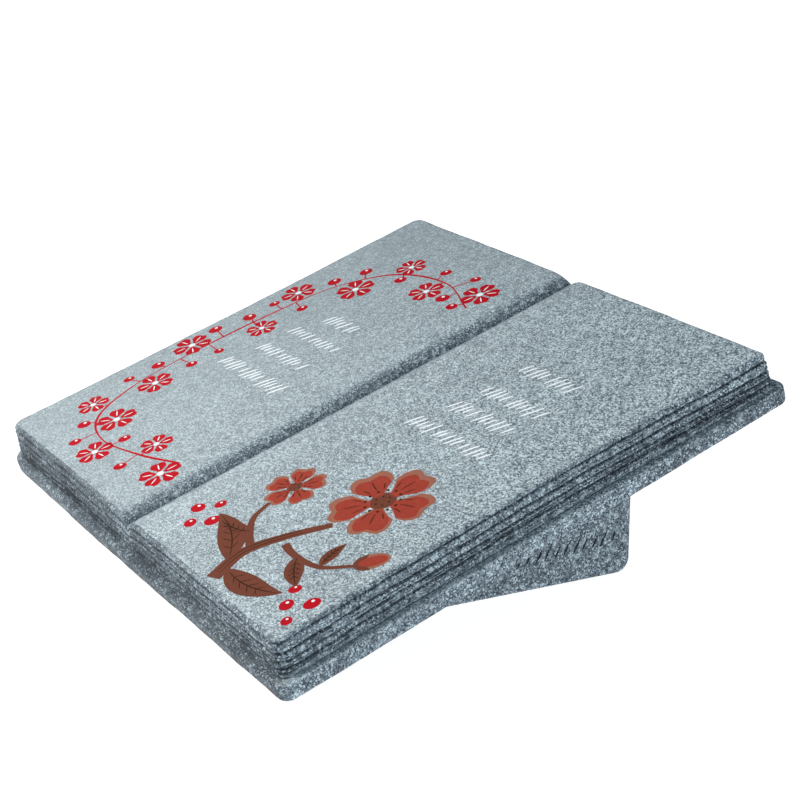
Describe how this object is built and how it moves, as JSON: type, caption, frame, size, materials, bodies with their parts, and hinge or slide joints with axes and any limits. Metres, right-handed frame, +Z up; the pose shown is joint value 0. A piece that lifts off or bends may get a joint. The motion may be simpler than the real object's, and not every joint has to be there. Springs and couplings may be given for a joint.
{
  "type": "memorial book plaque",
  "caption": "Open book on a thin cover, cast in one piece in stone-effect resin, tilted for reading by a wedge foot below, with printed pages.",
  "frame": {"origin": "centre of the object's footprint on the ground, at the level of the foot's underside", "axes": "+Z up; +X to the reader's right along the book's width; +Y from the low front edge towards the raised top of the page"},
  "size_m": [0.2, 0.1694, 0.0781],
  "materials": {
    "stone_resin": "matt granite-effect cast resin, grey-blue with fine white, pale blue and dark flecks",
    "red_print": "flat matt red print ink",
    "bloom_print": "flat matt orange-red print ink",
    "brown_print": "flat matt brown print ink",
    "white_print": "flat white print ink"
  },
  "bodies": {
    "root": {"book_plaque": "stone_resin"}
  },
  "joints": []
}
